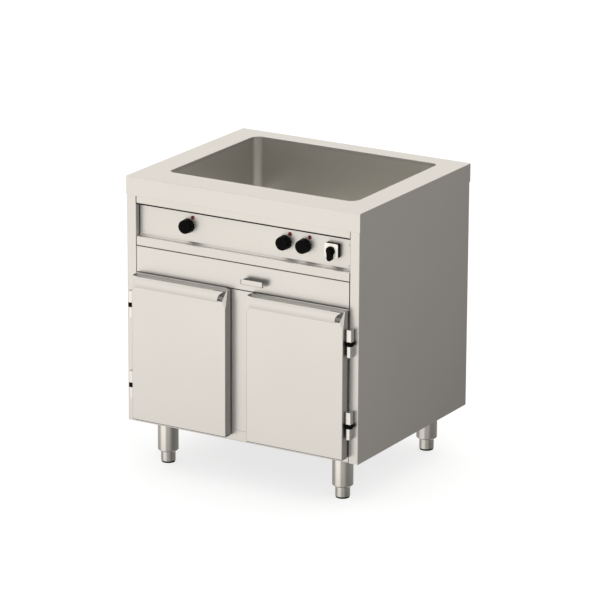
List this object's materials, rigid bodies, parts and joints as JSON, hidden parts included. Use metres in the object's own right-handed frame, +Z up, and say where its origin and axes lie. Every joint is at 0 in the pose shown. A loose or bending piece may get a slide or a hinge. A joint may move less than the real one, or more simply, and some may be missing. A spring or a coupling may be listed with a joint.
{
  "type": "bain-marie with cabinet",
  "caption": "Floor-standing stainless bain-marie: open water tank in a worktop, recessed control panel, shallow drawer and heated cabinet with hinged doors on levelling legs.",
  "frame": {"origin": "on the floor, in the middle of the object's outline", "axes": "+Z up, +X to the right seen from the front, front facing -Y"},
  "size_m": [0.8, 0.6946, 0.8985],
  "materials": {
    "stainless": "brushed",
    "stainless_inside": "brushed",
    "hinge_steel": "satin",
    "leg_steel": "satin",
    "black_rubber": "matt",
    "black_plastic": "satin",
    "white_plastic": "gloss",
    "red_lens": "gloss",
    "drain_brass": "satin",
    "red_lever": "gloss",
    "heater_mat": "matt",
    "heater_tube": "satin"
  },
  "bodies": {
    "carcass": {"worktop": "stainless", "tank": "stainless_inside", "drain_fitting": "stainless", "drain_nut": "drain_brass", "drain_pipes": "stainless", "drain_valve_body": "drain_brass", "left_side_panel": "stainless", "right_side_panel": "stainless", "back_panel": "stainless", "base_panel": "stainless", "floor_panel": "stainless", "ceiling_panel": "stainless", "mullion": "stainless", "cabinet_liner": "stainless_inside", "shelf": "stainless", "shelf_brackets": "stainless", "cabinet_heater": "heater_tube", "heater_cover": "stainless", "bay_shield": "stainless", "tank_heaters": "heater_mat", "control_fascia": "stainless", "thermostats": "black_plastic", "pilot_lamps": "red_lens", "switch_base": "black_plastic", "switch_plate": "white_plastic", "switch_body": "black_plastic", "drawer_runners": "stainless", "hinge_frame_leaves": "hinge_steel", "hinge_bushes": "black_plastic", "hinge_pins": "hinge_steel", "cable_gland": "black_plastic", "terminal_block": "white_plastic", "leg_sleeves": "leg_steel", "leg_nuts": "hinge_steel"},
    "left_door": {"left_door_skin": "stainless", "left_door_pan": "stainless", "left_door_gasket": "black_rubber", "left_door_hinge_leaves": "hinge_steel"},
    "right_door": {"right_door_skin": "stainless", "right_door_pan": "stainless", "right_door_gasket": "black_rubber", "right_door_hinge_leaves": "hinge_steel"},
    "drawer": {"drawer_front": "stainless", "drawer_pull": "stainless", "drawer_tray": "stainless", "drawer_slides": "stainless"},
    "switch": {"switch_handle": "black_plastic"},
    "valve": {"drain_valve_lever": "red_lever"},
    "cabinet_dial": {"cabinet_knob": "black_plastic"},
    "tank_left_dial": {"tank_left_knob": "black_plastic"},
    "tank_right_dial": {"tank_right_knob": "black_plastic"},
    "front_left_leg": {"front_left_foot": "leg_steel", "front_left_pad": "black_rubber"},
    "back_left_leg": {"back_left_foot": "leg_steel", "back_left_pad": "black_rubber"},
    "front_right_leg": {"front_right_foot": "leg_steel", "front_right_pad": "black_rubber"},
    "back_right_leg": {"back_right_foot": "leg_steel", "back_right_pad": "black_rubber"}
  },
  "joints": [
    {"name": "right_door_hinge", "type": "hinge", "parent": "carcass", "child": "right_door", "pos_m": [0.3755, -0.32425, 0.3794], "axis": [0, 0, 1], "range_deg": [0, 115]},
    {"name": "left_door_hinge", "type": "hinge", "parent": "carcass", "child": "left_door", "pos_m": [-0.3755, -0.32425, 0.3794], "axis": [0, 0, -1], "range_deg": [0, 115]},
    {"name": "drawer_slide", "type": "slide", "parent": "carcass", "child": "drawer", "axis": [0, -1, 0], "range_m": [0, 0.35]},
    {"name": "switch_turn", "type": "hinge", "parent": "carcass", "child": "switch", "pos_m": [0.3011, -0.29325, 0.7727], "axis": [0, 1, 0], "range_deg": [0, 90]},
    {"name": "valve_turn", "type": "hinge", "parent": "carcass", "child": "valve", "pos_m": [-0.2405, 0.21975, 0.5268], "axis": [0, 1, 0], "range_deg": [0, 90]},
    {"name": "cabinet_knob_turn", "type": "hinge", "parent": "carcass", "child": "cabinet_dial", "pos_m": [-0.1957, -0.29325, 0.77], "axis": [0, 1, 0], "range_deg": [0, 270]},
    {"name": "tank_left_knob_turn", "type": "hinge", "parent": "carcass", "child": "tank_left_dial", "pos_m": [0.1379, -0.29325, 0.77], "axis": [0, 1, 0], "range_deg": [0, 270]},
    {"name": "tank_right_knob_turn", "type": "hinge", "parent": "carcass", "child": "tank_right_dial", "pos_m": [0.2044, -0.29325, 0.77], "axis": [0, 1, 0], "range_deg": [0, 270]},
    {"name": "front_left_level", "type": "slide", "parent": "carcass", "child": "front_left_leg", "axis": [0, 0, 1], "range_m": [-0.02, 0.02]},
    {"name": "back_left_level", "type": "slide", "parent": "carcass", "child": "back_left_leg", "axis": [0, 0, 1], "range_m": [-0.02, 0.02]},
    {"name": "front_right_level", "type": "slide", "parent": "carcass", "child": "front_right_leg", "axis": [0, 0, 1], "range_m": [-0.02, 0.02]},
    {"name": "back_right_level", "type": "slide", "parent": "carcass", "child": "back_right_leg", "axis": [0, 0, 1], "range_m": [-0.02, 0.02]}
  ]
}
